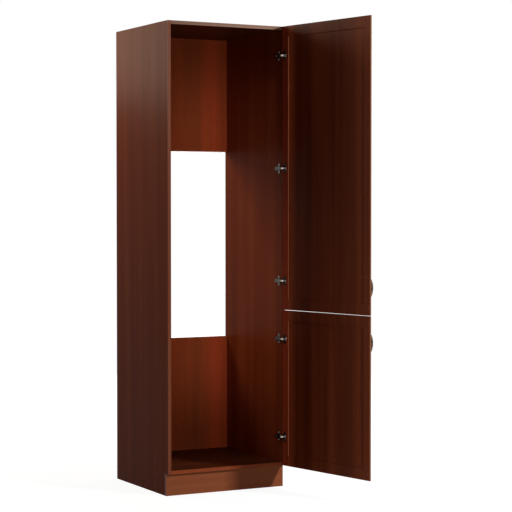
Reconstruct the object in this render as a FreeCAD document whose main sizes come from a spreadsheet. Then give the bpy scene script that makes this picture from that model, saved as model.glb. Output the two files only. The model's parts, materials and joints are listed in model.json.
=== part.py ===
import FreeCAD, Part
import math
import os
import re

import Sketcher
from FreeCAD import Placement, Rotation, Vector

# Fridge housing cabinet: a tall kitchen carcass with an open middle back and two framed doors,
# both hung on the right with single-pivot concealed cup hinges and shown open.
# Frame: millimetres, +Z up, +X to the right, +Y to the wall.
# The origin is in the middle of the plinth board's underside, on the floor.

SIZES = {
    # carcass boards
    "carcass_width": 600,
    "carcass_height": 2140,
    "carcass_depth": 580,
    "board": 16,
    "edge_band": 1,
    "plinth_height": 100,
    "plinth_recess": 20,
    "lower_back_top": 668.5,
    "upper_back_bottom": 1576,
    # knock-down fittings that hold the boards together
    "cam_radius": 7.5,
    "cam_depth": 12.5,
    "cam_setback": 34,
    "cam_inset": 60,
    "bolt_radius": 3,
    "dowel_radius": 4,
    "dowel_length": 30,
    "dowel_inset": 92,
    "side_bore_depth": 10,
    # brackets behind the plinth board
    "bracket_leg": 30,
    "bracket_height": 40,
    "bracket_metal": 2,
    "bracket_level": 50,
    "bracket_hole_pitch": 20,
    # wood screws
    "screw_radius": 1.75,
    "screw_grip": 11,
    "screw_head_radius": 3.5,
    "screw_head_height": 1.6,
    # doors
    "door_thickness": 16,
    "door_reveal": 1.5,
    "door_gap": 3,
    "door_bottom_level": 102,
    "lower_door_height": 724,
    "door_spacing": 2.5,
    "upper_door_top_reveal": 0,
    "stile_width": 42,
    "rail_width": 50,
    "door_round": 2,
    "door_bevel": 9,
    "panel_thickness": 6,
    "panel_recess": 5,
    "groove_depth": 5,
    "groove_slack": 1,
    "open_angle": 101.1,
    # hinges
    "pivot_inset": 7,
    "pivot_depth": 7.7,
    "pin_radius": 1.25,
    "pin_half_length": 7.5,
    "pin_clearance": 0.05,
    "eye_radius": 2.2,
    "neck_height": 8,
    "neck_bend": 12,
    "arm_metal": 2,
    "arm_rise": 11.5,
    "arm_height": 16,
    "arm_start": 2,
    "arm_end": 48,
    "cheek_metal": 1.5,
    "cheek_start": 10,
    "arm_screw_radius": 2.2,
    "arm_screw_grip": 7,
    "arm_screw_setback": 35,
    "arm_screw_head_radius": 4.5,
    "arm_screw_head_height": 2.2,
    "plate_metal": 1.5,
    "plate_setback": 27,
    "plate_screw_pitch": 32,
    "plate_wing_width": 14,
    "plate_wing_height": 46,
    "plate_foot_inset": 2,
    "block_inset": 4,
    "block_clearance": 0.3,
    "cup_radius": 13,
    "cup_wall": 1,
    "cup_depth": 11.2,
    "cup_edge_distance": 2.5,
    "lug_gap": 10,
    "lug_half_width": 3.2,
    "lug_rise": 3,
    "flange_metal": 0.8,
    "flange_rim": 1.5,
    "wing_height": 48,
    "wing_width": 11,
    "cup_screw_pitch": 38,
    "cup_screw_setback": 5,
    "hinge_inset": 134,
    # bow handles and door bumpers
    "handle_length": 112,
    "handle_inner_length": 76,
    "handle_projection": 26.5,
    "handle_grip": 8,
    "handle_width": 14,
    "handle_round": 2,
    "handle_pitch": 96,
    "handle_edge_distance": 30,
    "handle_inset": 120.5,
    "handle_screw_radius": 2,
    "handle_screw_bite": 5,
    "handle_screw_head_radius": 4,
    "handle_screw_head_height": 2,
    "bumper_radius": 4,
    "bumper_height": 2.7,
    "bumper_edge_distance": 10,
    "bumper_end_distance": 30,
}

# Places worked out from the sizes above
LEFT = "(-carcass_width / 2)"
RIGHT = "(carcass_width / 2)"
INNER = "(carcass_width / 2 - board)"
FRONT = "(-plinth_recess - board / 2)"
REAR = f"({FRONT} + carcass_depth)"
BOARD_FRONT = f"({FRONT} + edge_band)"
BOARD_DEPTH = "(carcass_depth - edge_band)"
INNER_WIDTH = "(carcass_width - 2 * board)"
FLOOR_TOP = "(plinth_height + board)"
CEILING = "(carcass_height - board)"
PIVOT_X = "(carcass_width / 2 - door_reveal - pivot_inset)"
PIVOT_Y = f"({FRONT} - door_gap - pivot_depth)"
ARM_FACE = f"({INNER} - arm_rise)"

# A closed door seen from its hinge pivot: x to the right, y to the wall, z from the floor
DOOR_WIDTH = "(carcass_width - 2 * door_reveal)"
HINGE_EDGE = "pivot_inset"
FREE_EDGE = f"(pivot_inset - {DOOR_WIDTH})"
DOOR_BACK = "pivot_depth"
DOOR_FACE = "(pivot_depth - door_thickness)"
PANEL_BACK = "(pivot_depth - panel_recess)"
PANEL_FACE = "(pivot_depth - panel_recess - panel_thickness)"
LOWER_TOP = "(door_bottom_level + lower_door_height)"
UPPER_BOTTOM = f"({LOWER_TOP} + door_spacing)"
UPPER_TOP = "(carcass_height - upper_door_top_reveal)"
DOORS = {"upper": (UPPER_BOTTOM, UPPER_TOP), "lower": ("door_bottom_level", LOWER_TOP)}

UPPER_HINGE = f"({UPPER_TOP} - hinge_inset)"
UPPER_LOW_HINGE = f"({UPPER_BOTTOM} + hinge_inset)"
HINGES = {
    "upper_top": UPPER_HINGE,
    "upper_middle": f"(({UPPER_HINGE} + {UPPER_LOW_HINGE}) / 2)",
    "upper_bottom": UPPER_LOW_HINGE,
    "lower_top": f"({LOWER_TOP} - hinge_inset)",
    "lower_bottom": "(door_bottom_level + hinge_inset)",
}

# Turns that point a part's own +Z along a direction
AIM = {
    "+X": Rotation(Vector(0, 1, 0), 90),
    "-X": Rotation(Vector(0, 1, 0), -90),
    "+Y": Rotation(Vector(1, 0, 0), -90),
    "-Y": Rotation(Vector(1, 0, 0), 90),
    "+Z": Rotation(),
    "-Z": Rotation(Vector(1, 0, 0), 180),
}
OPPOSITE = {"+X": "-X", "-X": "+X", "+Y": "-Y", "-Y": "+Y", "+Z": "-Z", "-Z": "+Z"}
WORD = re.compile(r"[a-z][a-z_]*")
TINY = 1e-6

doc = FreeCAD.newDocument("fridge_housing_cabinet")
sheet = doc.addObject("Spreadsheet::Sheet", "sizes")
for row, (size_name, size_value) in enumerate(SIZES.items(), 1):
    sheet.set(f"A{row}", size_name)
    sheet.set(f"B{row}", str(size_value))
    sheet.setAlias(f"B{row}", size_name)
doc.recompute()

pieces = []


def formula(text):
    """The text with each size written as a cell of the sheet."""
    return WORD.sub(lambda word: f"sizes.{word[0]}" if word[0] in SIZES else word[0], str(text))


def number(text):
    """The value that a formula has now."""
    return float(sheet.evalExpression(formula(text)))


def bind(item, prop, text):
    """Tie one property of an object to a formula of the sheet."""
    item.setExpression(prop, formula(text))


def place(item, at, aim="+Z"):
    """Put an object at a point given by three formulas, turned to one of the six directions."""
    item.Placement = Placement(Vector(), AIM[aim])
    for axis, text in zip("xyz", at):
        bind(item, f"Placement.Base.{axis}", text)


def block(name, low, size):
    """A box from its low corner and its three sizes."""
    item = doc.addObject("Part::Box", name)
    for prop, text in zip(("Length", "Width", "Height"), size):
        bind(item, prop, text)
    place(item, low)
    return item


def rod(name, start, radius, length, aim="+Z"):
    """A round bar from its start point, along one of the six directions."""
    item = doc.addObject("Part::Cylinder", name)
    bind(item, "Radius", radius)
    bind(item, "Height", length)
    place(item, start, aim)
    return item


def join(name, items):
    """Several overlapping or touching shapes as one."""
    item = doc.addObject("Part::MultiFuse", name)
    item.Shapes = items
    item.Refine = True
    return item


def cut(name, base, tools):
    """The base with every tool taken away."""
    item = doc.addObject("Part::Cut", name)
    item.Base = base
    item.Tool = tools[0] if len(tools) == 1 else join(f"{name}_tools", tools)
    return item


def group(name, items):
    """Separate solids of one kind, kept together."""
    item = doc.addObject("Part::Compound", name)
    item.Links = items
    return item


def keep(item, label):
    """Name a finished sub-part and list it for the export."""
    item.Label = label
    pieces.append(item)
    return item


def hang(item):
    """Turn a door piece, built closed about its pivot, to the open pose."""
    turn = "rotation(vector(0; 0; 1); open_angle)"
    bind(item, "Placement", f"placement(vector({PIVOT_X}; {PIVOT_Y}; 0); {turn})")
    return item


def screw(name, seat, aim, grip, radius="screw_radius", head="screw_head"):
    """A pan-head screw: its head sits on the seat and its shank runs along the aim."""
    shank = rod(f"{name}_shank", seat, radius, grip, aim)
    cap = rod(f"{name}_cap", seat, f"{head}_radius", f"{head}_height", OPPOSITE[aim])
    return join(name, [shank, cap])


def new_body(name, at=("0", "0", "0")):
    """An empty body at a point given by three formulas."""
    body = doc.addObject("PartDesign::Body", name)
    place(body, at)
    return body


def new_sketch(body, role):
    """A sketch on one of the body's own origin planes."""
    sketch = body.newObject("Sketcher::SketchObject", f"{body.Name}_sketch")
    plane = next(item for item in body.Origin.OriginFeatures if item.Role == role)
    sketch.AttachmentSupport = [(plane, "")]
    sketch.MapMode = "FlatFace"
    return sketch


def pin_point(sketch, geometry, point, at):
    """Hold one point of a sketch at two formulas; None leaves that coordinate free."""
    for kind, text in zip(("DistanceX", "DistanceY"), at):
        if text is not None:
            index = sketch.addConstraint(
                Sketcher.Constraint(kind, -1, 1, geometry, point, number(text)))
            sketch.setExpression(f"Constraints[{index}]", formula(text))


def outline(body, role, corners):
    """A closed outline of straight lines through corners given by formulas."""
    sketch = new_sketch(body, role)
    points = [Vector(number(x), number(y), 0) for x, y in corners]
    for index, point in enumerate(points):
        sketch.addGeometry(Part.LineSegment(point, points[(index + 1) % len(points)]))
    for index, corner in enumerate(corners):
        follower = (index + 1) % len(points)
        sketch.addConstraint(Sketcher.Constraint("Coincident", index, 2, follower, 1))
        pin_point(sketch, index, 1, corner)
    return sketch


def pad(body, sketch, length):
    """A body's sketch drawn out into a solid."""
    feature = body.newObject("PartDesign::Pad", f"{body.Name}_pad")
    feature.Profile = sketch
    bind(feature, "Length", length)
    doc.recompute()
    return feature


def soften(body, feature, radius, wanted):
    """Round those edges of a feature that pass the test; returns the rounded feature."""
    names = [f"Edge{i}" for i, edge in enumerate(feature.Shape.Edges, 1) if wanted(edge)]
    rounding = body.newObject("PartDesign::Fillet", f"{body.Name}_round")
    rounding.Base = (feature, names)
    bind(rounding, "Radius", radius)
    doc.recompute()
    return rounding


def edge_middle(edge):
    """The point halfway along an edge."""
    return edge.valueAt((edge.FirstParameter + edge.LastParameter) / 2)


def stands_at(x, y):
    """A test that an upright edge passes where it stands at two formulas."""
    return lambda edge: edge_middle(edge).isEqual(
        Vector(number(x), number(y), edge_middle(edge).z), TINY)


def knock_down_joints(board_name, spots, dowel_spots, mouth, depth_axis_face):
    """Cam locks, bolts and dowels at both ends of a board that stands between the sides.

    Each spot is the pair of formulas (y, z) of a fitting's axis. The mouth is the direction that
    the cam's bore opens to, and the last argument the level of that face on the mouth's axis.
    """
    cams, bolts, dowels = [], [], []
    for side, sign, aim in (("left", "-", "+X"), ("right", "", "-X")):
        for number_on_side, (y, z) in enumerate(spots, 1):
            name = f"{board_name}_{side}_{number_on_side}"
            start = f"({sign}({INNER} + side_bore_depth))"
            bolt = rod(f"{name}_bolt", (start, y, z), "bolt_radius",
                       "(side_bore_depth + cam_setback)", aim)
            centre = f"({sign}({INNER} - cam_setback))"
            face_point = (centre, depth_axis_face, z) if mouth[1] == "Y" else (centre, y, depth_axis_face)
            housing = rod(f"{name}_cam", face_point, "cam_radius", "cam_depth", OPPOSITE[mouth])
            cams.append(cut(f"{name}_cam_lock", housing, [bolt]))
            bolts.append(bolt)
        for number_on_side, (y, z) in enumerate(dowel_spots, 1):
            start = f"({sign}({INNER} + side_bore_depth))"
            dowels.append(rod(f"{board_name}_{side}_dowel_{number_on_side}", (start, y, z),
                              "dowel_radius", "dowel_length", aim))
    return cams, bolts, dowels


def cross_board_fittings():
    """The fittings of each board between the sides, by board."""
    top_level = "(carcass_height - board / 2)"
    bottom_level = "(plinth_height + board / 2)"
    back_line = f"({REAR} - board / 2)"
    fittings = {}
    for name, level, mouth, face in (("top_panel", top_level, "+Z", "carcass_height"),
                                     ("bottom_panel", bottom_level, "-Z", "plinth_height")):
        spots = [(f"({FRONT} + cam_inset)", level), (f"({REAR} - cam_inset)", level)]
        pegs = [(f"({FRONT} + dowel_inset)", level), (f"({REAR} - dowel_inset)", level)]
        fittings[name] = knock_down_joints(name, spots, pegs, mouth, face)
    for name, low, high in (("upper_back_panel", "upper_back_bottom", CEILING),
                            ("lower_back_panel", FLOOR_TOP, "lower_back_top")):
        spots = [(back_line, f"({low} + cam_inset)"), (back_line, f"({high} - cam_inset)")]
        pegs = [(back_line, f"({low} + dowel_inset)"), (back_line, f"({high} - dowel_inset)")]
        fittings[name] = knock_down_joints(name, spots, pegs, "+Y", REAR)
    return fittings


def build_plinth():
    """The plinth board, its two angle brackets and their screws; returns the side screws."""
    brackets = []
    screws = []
    side_screws = {"left": [], "right": []}
    plinth_back = "(board / 2)"
    low = "(bracket_level - bracket_height / 2)"
    for side, sign, aim in (("left", "-", "-X"), ("right", "", "+X")):
        corner = f"({sign}{INNER})"
        inward = "" if side == "left" else "-"
        body = new_body(f"{side}_bracket_body", (corner, plinth_back, low))
        leg = f"({inward}bracket_leg)"
        metal = f"({inward}bracket_metal)"
        pad(body, outline(body, "XY_Plane", [
            ("0", "0"), (leg, "0"), (leg, "bracket_metal"), (metal, "bracket_metal"),
            (metal, "bracket_leg"), ("0", "bracket_leg")]), "bracket_height")
        holes = []
        for end, offset in (("low", "- bracket_hole_pitch / 2"), ("high", "+ bracket_hole_pitch / 2")):
            level = f"(bracket_level {offset})"
            across = f"({corner} {'+' if side == 'left' else '-'} bracket_leg * 2 / 3)"
            front = screw(f"{side}_{end}_plinth_screw",
                          (across, f"({plinth_back} + bracket_metal)", level), "-Y", "screw_grip")
            beside = screw(f"{side}_{end}_side_screw",
                           (f"({corner} {'+' if side == 'left' else '-'} bracket_metal)",
                            f"({plinth_back} + bracket_leg * 2 / 3)", level), aim, "screw_grip")
            holes += [front, beside]
            screws += [front, beside]
            side_screws[side].append(beside)
        brackets.append(cut(f"{side}_bracket", body, holes))
    front_board = block("plinth_blank", (LEFT, "(-board / 2)", "0"),
                        ("carcass_width", "board", "plinth_height"))
    front_screws = [item for item in screws if "plinth_screw" in item.Name]
    keep(cut("plinth_board", front_board, front_screws), "plinth_board")
    keep(group("plinth_brackets", brackets), "plinth_brackets")
    keep(group("plinth_bracket_screws", screws), "plinth_bracket_screws")
    return side_screws


def build_side(side, low_x, tools):
    """A side panel: full height, with a toe notch that takes the plinth board."""
    notch = f"({FRONT} + plinth_recess + board)"
    body = new_body(f"{side}_side_body", (low_x, "0", "0"))
    pad(body, outline(body, "YZ_Plane", [
        (notch, "0"), (REAR, "0"), (REAR, "carcass_height"), (BOARD_FRONT, "carcass_height"),
        (BOARD_FRONT, "plinth_height"), (notch, "plinth_height")]), "board")
    keep(cut(f"{side}_side_panel", body, tools), f"{side}_side_panel")


def build_cross_boards(fittings):
    """Top, bottom and the two back boards, bored for their fittings."""
    blanks = {
        "top_panel": ((f"(-{INNER})", BOARD_FRONT, CEILING), (INNER_WIDTH, BOARD_DEPTH, "board")),
        "bottom_panel": ((f"(-{INNER})", BOARD_FRONT, "plinth_height"),
                         (INNER_WIDTH, BOARD_DEPTH, "board")),
        "upper_back_panel": ((f"(-{INNER})", f"({REAR} - board)", "(upper_back_bottom + edge_band)"),
                             (INNER_WIDTH, "board", f"({CEILING} - upper_back_bottom - edge_band)")),
        "lower_back_panel": ((f"(-{INNER})", f"({REAR} - board)", FLOOR_TOP),
                             (INNER_WIDTH, "board", f"(lower_back_top - edge_band - {FLOOR_TOP})")),
    }
    for name, (low, size) in blanks.items():
        cams, bolts, dowels = fittings[name]
        housings = [lock.Base for lock in cams]
        keep(cut(name, block(f"{name}_blank", low, size), housings + bolts + dowels), name)


def build_edge_bands():
    """Thin bands on the front edges of the boards and on the edges of the open back."""
    upright = ("board", "edge_band", "(carcass_height - plinth_height)")
    across = (INNER_WIDTH, "edge_band", "board")
    ledge = (INNER_WIDTH, "board", "edge_band")
    bands = {
        "left_edge_band": ((LEFT, FRONT, "plinth_height"), upright),
        "right_edge_band": ((INNER, FRONT, "plinth_height"), upright),
        "top_edge_band": ((f"(-{INNER})", FRONT, CEILING), across),
        "bottom_edge_band": ((f"(-{INNER})", FRONT, "plinth_height"), across),
        "upper_back_edge_band": ((f"(-{INNER})", f"({REAR} - board)", "upper_back_bottom"), ledge),
        "lower_back_edge_band": ((f"(-{INNER})", f"({REAR} - board)", "(lower_back_top - edge_band)"),
                                 ledge),
    }
    for name, (low, size) in bands.items():
        keep(block(name, low, size), name)


def build_hinge_plate(name, level):
    """A cruciform plate on the right side and the screws that hold it and the arm; returns them."""
    y_middle = f"({FRONT} + plate_setback)"
    y_low = f"({FRONT} + cheek_start + plate_foot_inset)"
    y_long = "(arm_end - cheek_start - 2 * plate_foot_inset)"
    plate_face = f"({INNER} - plate_metal)"
    core = "(arm_height / 2 - cheek_metal - block_clearance)"
    wing = block(f"{name}_wing", (plate_face, f"({y_middle} - plate_wing_width / 2)",
                                  f"({level} - plate_wing_height / 2)"),
                 ("plate_metal", "plate_wing_width", "plate_wing_height"))
    foot = block(f"{name}_foot", (plate_face, y_low, f"({level} - arm_height / 2)"),
                 ("plate_metal", y_long, "arm_height"))
    saddle = block(f"{name}_saddle",
                   (f"({ARM_FACE} + arm_metal)", f"({y_low} + block_inset)", f"({level} - {core})"),
                   ("(arm_rise - arm_metal - plate_metal)", f"({y_long} - 2 * block_inset)",
                    f"(2 * {core})"))
    plate_screws = [
        screw(f"{name}_{end}_screw", (plate_face, y_middle, f"({level} {offset})"), "+X", "screw_grip")
        for end, offset in (("low", "- plate_screw_pitch / 2"), ("high", "+ plate_screw_pitch / 2"))]
    arm_screw = screw(f"{name}_arm_screw", (ARM_FACE, f"({FRONT} + arm_screw_setback)", level), "+X",
                      "(arm_metal + arm_screw_grip)", "arm_screw_radius", "arm_screw_head")
    shape = join(f"{name}_plate_blank", [wing, foot, saddle])
    keep(cut(f"{name}_hinge_plate", shape, plate_screws + [arm_screw]), f"{name}_hinge_plate")
    return plate_screws, arm_screw


def build_neck(name, low):
    """The bent strip that runs from an arm's web round to its eye."""
    bottom = f"({PIVOT_Y} - eye_radius)"
    top = f"({bottom} + arm_metal)"
    back = f"({ARM_FACE} + arm_metal)"
    end = f"({FRONT} + arm_start)"
    body = new_body(f"{name}_neck_body", ("0", "0", low))
    strip = pad(body, outline(body, "XY_Plane", [
        (ARM_FACE, bottom), (PIVOT_X, bottom), (PIVOT_X, top), (back, top), (back, end),
        (ARM_FACE, end)]), "neck_height")
    bent = soften(body, strip, "neck_bend", stands_at(ARM_FACE, bottom))
    soften(body, bent, "(neck_bend - arm_metal)", stands_at(back, top))
    return body


def build_hinge_arm(name, level, arm_screw):
    """A channel arm whose gooseneck reaches into the door's cup and ends in an eye on the pin."""
    neck_low = f"({level} - neck_height / 2)"
    web_low = f"({level} - arm_height / 2)"
    neck = build_neck(name, neck_low)
    web = block(f"{name}_web", (ARM_FACE, f"({FRONT} + arm_start)", web_low),
                ("arm_metal", "(arm_end - arm_start)", "arm_height"))
    cheeks = [
        block(f"{name}_{end}_cheek", (f"({ARM_FACE} + arm_metal)", f"({FRONT} + cheek_start)", low),
              ("(arm_rise - arm_metal - plate_metal)", "(arm_end - cheek_start)", "cheek_metal"))
        for end, low in (("low", web_low), ("high", f"({level} + arm_height / 2 - cheek_metal)"))]
    eye = rod(f"{name}_eye", (PIVOT_X, PIVOT_Y, neck_low), "eye_radius", "neck_height")
    pin_hole = rod(f"{name}_eye_hole", (PIVOT_X, PIVOT_Y, neck_low), "(pin_radius + pin_clearance)",
                   "neck_height")
    shape = join(f"{name}_arm_blank", [neck, web, eye] + cheeks)
    keep(cut(f"{name}_hinge_arm", shape, [pin_hole, arm_screw]), f"{name}_hinge_arm")


def build_hinge_cup(name, level):
    """A door's hinge cup with two lugs for its pin; returns its pocket, its screws and the pin."""
    centre = "(pivot_inset - cup_edge_distance - cup_radius)"
    mouth = "(pivot_depth + flange_metal)"
    pocket = rod(f"{name}_pocket", (centre, DOOR_BACK, level), "cup_radius", "cup_depth", "-Y")
    rim = rod(f"{name}_rim", (centre, DOOR_BACK, level), "(cup_radius + flange_rim)", "flange_metal",
              "+Y")
    wings = block(f"{name}_wings", (f"({centre} - cup_screw_setback - wing_width / 2)", DOOR_BACK,
                                    f"({level} - wing_height / 2)"),
                  ("wing_width", "flange_metal", "wing_height"))
    hollow = rod(f"{name}_hollow", (centre, mouth, level), "(cup_radius - cup_wall)",
                 "(cup_depth - cup_wall + flange_metal)", "-Y")
    lug_lows = {"low": f"({level} - lug_gap / 2 - cup_radius)", "high": f"({level} + lug_gap / 2)"}
    lugs = [
        block(f"{name}_{end}_lug", ("(-lug_half_width)", "(pivot_depth - cup_depth)", low),
              ("(lug_half_width + pivot_inset)", "(cup_depth - pivot_depth + lug_rise)", "cup_radius"))
        for end, low in lug_lows.items()]
    pin = rod(f"{name}_pin", ("0", "0", f"({level} - pin_half_length)"), "pin_radius",
              "(2 * pin_half_length)")
    screws = [
        screw(f"{name}_cup_{end}_screw", (f"({centre} - cup_screw_setback)", mouth,
                                          f"({level} {offset})"), "-Y", "screw_grip")
        for end, offset in (("low", "- cup_screw_pitch / 2"), ("high", "+ cup_screw_pitch / 2"))]
    cavity = cut(f"{name}_cavity", hollow, lugs)
    shape = cut(f"{name}_cup_shell", join(f"{name}_cup_blank", [pocket, rim, wings]), [cavity])
    keep(hang(cut(f"{name}_hinge_cup", shape, screws + [pin])), f"{name}_hinge_cup")
    return pocket, screws, pin


def build_stile(door, name, outer, inner, low, high, bevel, tools):
    """An upright of a door frame, bevelled outside and grooved for the panel on its inner edge."""
    towards, back = ("-", "+") if number(outer) < number(inner) else ("+", "-")
    groove = f"({inner} {towards} groove_depth)"
    body = new_body(f"{door}_{name}_body", ("0", "0", low))
    feature = pad(body, outline(body, "XY_Plane", [
        (inner, DOOR_FACE), (f"({outer} {back} {bevel})", DOOR_FACE), (outer, f"({DOOR_FACE} + {bevel})"),
        (outer, DOOR_BACK), (inner, DOOR_BACK), (inner, PANEL_BACK), (groove, PANEL_BACK),
        (groove, PANEL_FACE), (inner, PANEL_FACE)]), f"({high} - {low})")
    reach = abs(number(outer) - number(groove)) - TINY
    soften(body, feature, "door_round",
           lambda edge: abs(edge_middle(edge).x - number(outer)) < reach)
    keep(hang(cut(f"{door}_door_{name}", body, tools)), f"{door}_door_{name}")


def build_rail(door, name, outer, inner, start, length):
    """A cross piece of a door frame, grooved for the panel, with a stub tenon at each end."""
    upwards = "-" if number(outer) < number(inner) else "+"
    groove = f"({inner} {upwards} groove_depth)"
    body = new_body(f"{door}_{name}_body", (start, "0", "0"))
    feature = pad(body, outline(body, "YZ_Plane", [
        (DOOR_FACE, inner), (DOOR_FACE, outer), (DOOR_BACK, outer), (DOOR_BACK, inner),
        (PANEL_BACK, inner), (PANEL_BACK, groove), (PANEL_FACE, groove), (PANEL_FACE, inner)]), length)
    soften(body, feature, "door_round",
           lambda edge: abs(edge_middle(edge).z - number(outer)) < TINY and abs(edge.tangentAt(0).x) > 0.5)
    shoulder = "(rail_width - groove_depth - door_round)"
    low = f"({outer} + door_round)" if upwards == "-" else f"({outer} - door_round - {shoulder})"
    tenons = [
        block(f"{door}_{name}_{end}_tenon", (x, PANEL_FACE, low),
              ("groove_depth", "panel_thickness", shoulder))
        for end, x in (("free", f"({start} - groove_depth)"), ("hinge", f"({start} + {length})"))]
    keep(hang(join(f"{door}_door_{name}", [body] + tenons)), f"{door}_door_{name}")


def build_handle(door, level):
    """A bow handle with flat feet on the door's face; returns the screws that hold it."""
    half_outer = "(handle_length / 2)"
    half_inner = "(handle_inner_length / 2)"
    line = f"({FREE_EDGE} + handle_edge_distance)"
    body = new_body(f"{door}_handle_body", (f"({line} - handle_width / 2)", DOOR_FACE, level))
    sketch = new_sketch(body, "YZ_Plane")
    rises = {half_outer: "handle_projection", half_inner: "(handle_projection - handle_grip)"}
    arcs = []
    for half, rise in rises.items():
        middle = f"(({half} ^ 2 - {rise} ^ 2) / (2 * {rise}))"
        centre = Vector(number(middle), 0, 0)
        radius = number(middle) + number(rise)
        start = math.atan2(number(half), -number(middle))
        circle = Part.Circle(centre, Vector(0, 0, 1), radius)
        arc = sketch.addGeometry(Part.ArcOfCircle(circle, start, 2 * math.pi - start))
        arcs.append((arc, half, middle))
    (outer, _, _), (inner, _, _) = arcs
    for end, sign in ((1, 1), (2, -1)):
        foot = sketch.addGeometry(Part.LineSegment(Vector(0, sign * number(half_outer), 0),
                                                   Vector(0, sign * number(half_inner), 0)))
        sketch.addConstraint(Sketcher.Constraint("Coincident", foot, 1, outer, end))
        sketch.addConstraint(Sketcher.Constraint("Coincident", foot, 2, inner, end))
    for arc, half, middle in arcs:
        pin_point(sketch, arc, 1, ("0", half))
        pin_point(sketch, arc, 2, ("0", f"(-{half})"))
        pin_point(sketch, arc, 3, (middle, None))
    feature = pad(body, sketch, "handle_width")
    soften(body, feature, "handle_round", lambda edge: isinstance(edge.Curve, Part.Circle))
    screws = [
        screw(f"{door}_handle_{end}_screw", (line, DOOR_BACK, f"({level} {offset})"), "-Y",
              "(door_thickness + handle_screw_bite)", "handle_screw_radius", "handle_screw_head")
        for end, offset in (("low", "- handle_pitch / 2"), ("high", "+ handle_pitch / 2"))]
    keep(hang(cut(f"{door}_handle", body, screws)), f"{door}_handle")
    keep(hang(group(f"{door}_handle_screws", screws)), f"{door}_handle_screws")
    return screws


def build_bumpers(door, low, high):
    """Two soft buttons on the door's back that meet the left side's front edge."""
    line = f"({FREE_EDGE} + bumper_edge_distance)"
    levels = {"low": f"({low} + bumper_end_distance)", "high": f"({high} - bumper_end_distance)"}
    buttons = []
    for end, level in levels.items():
        buttons.append(rod(f"{door}_{end}_bumper", (line, DOOR_BACK, level), "bumper_radius",
                           "bumper_height", "+Y"))
    keep(hang(group(f"{door}_door_bumpers", buttons)), f"{door}_door_bumpers")


def build_door(door, low, high):
    """One framed door with its panel, hinge cups, pins, handle and bumpers."""
    pockets, cup_screws, pins = [], [], []
    for name, level in HINGES.items():
        if name.startswith(door):
            pocket, screws, pin = build_hinge_cup(name, level)
            pockets.append(pocket)
            cup_screws += screws
            pins.append(pin)
    level = f"({low} + handle_inset)" if door == "upper" else f"({high} - handle_inset)"
    handle_screws = build_handle(door, level)
    hinge_line = f"({HINGE_EDGE} - stile_width)"
    free_line = f"({FREE_EDGE} + stile_width)"
    build_stile(door, "hinge_stile", HINGE_EDGE, hinge_line, low, high, "(door_bevel / 2)",
                pockets + cup_screws)
    build_stile(door, "handle_stile", FREE_EDGE, free_line, low, high, "door_bevel", handle_screws)
    length = f"({DOOR_WIDTH} - 2 * stile_width)"
    build_rail(door, "top_rail", high, f"({high} - rail_width)", free_line, length)
    build_rail(door, "bottom_rail", low, f"({low} + rail_width)", free_line, length)
    tongue = "(groove_depth - groove_slack)"
    panel = block(f"{door}_panel_board",
                  (f"({free_line} - {tongue})", PANEL_FACE, f"({low} + rail_width - {tongue})"),
                  (f"({length} + 2 * {tongue})", "panel_thickness",
                   f"({high} - {low} - 2 * rail_width + 2 * {tongue})"))
    keep(hang(group(f"{door}_door_panel", [panel])), f"{door}_door_panel")
    keep(hang(group(f"{door}_cup_screws", cup_screws)), f"{door}_cup_screws")
    keep(hang(group(f"{door}_hinge_pins", pins)), f"{door}_hinge_pins")
    build_bumpers(door, low, high)


def build_carcass():
    """The fixed part: boards, bands, fittings, plinth, hinge plates and arms."""
    fittings = cross_board_fittings()
    side_screws = build_plinth()
    plate_screws, arm_screws = [], []
    for name, level in HINGES.items():
        screws, arm_screw = build_hinge_plate(name, level)
        build_hinge_arm(name, level, arm_screw)
        plate_screws += screws
        arm_screws.append(arm_screw)
    all_cams = [lock for cams, _, _ in fittings.values() for lock in cams]
    all_bolts = [bolt for _, bolts, _ in fittings.values() for bolt in bolts]
    all_dowels = [dowel for _, _, dowels in fittings.values() for dowel in dowels]
    pegs = {side: [item for item in all_bolts + all_dowels if f"_{side}_" in item.Name]
            for side in ("left", "right")}
    build_side("left", LEFT, pegs["left"] + side_screws["left"])
    build_side("right", INNER, pegs["right"] + side_screws["right"] + plate_screws)
    build_cross_boards(fittings)
    build_edge_bands()
    keep(group("cam_locks", all_cams), "cam_locks")
    keep(group("cam_bolts", all_bolts), "cam_bolts")
    keep(group("wood_dowels", all_dowels), "wood_dowels")
    keep(group("hinge_plate_screws", plate_screws), "hinge_plate_screws")
    keep(group("hinge_arm_screws", arm_screws), "hinge_arm_screws")


def check_and_export():
    """Refuse a failed object or a broken shape, then write one file per sub-part."""
    doc.recompute()
    for item in doc.Objects:
        if "Invalid" in item.State or "Error" in item.State:
            raise RuntimeError(f"{item.Name} failed: {item.State}")
    for item in pieces:
        if item.Shape.isNull() or not item.Shape.isValid():
            raise RuntimeError(f"{item.Label} has no valid shape")
    os.makedirs("parts", exist_ok=True)
    for item in pieces:
        item.Shape.exportStep(f"parts/{item.Label}.step")
        print(f"{item.Label}: {len(item.Shape.Solids)} solids, {item.Shape.Volume:.1f} mm3")


build_carcass()
for door_name, (door_low, door_high) in DOORS.items():
    build_door(door_name, door_low, door_high)
check_and_export()
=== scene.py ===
import json
import logging
import math
from dataclasses import dataclass
from enum import Enum
from typing import Any, Callable, Iterable

import bmesh
import bpy
from mathutils import Matrix, Vector

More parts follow.
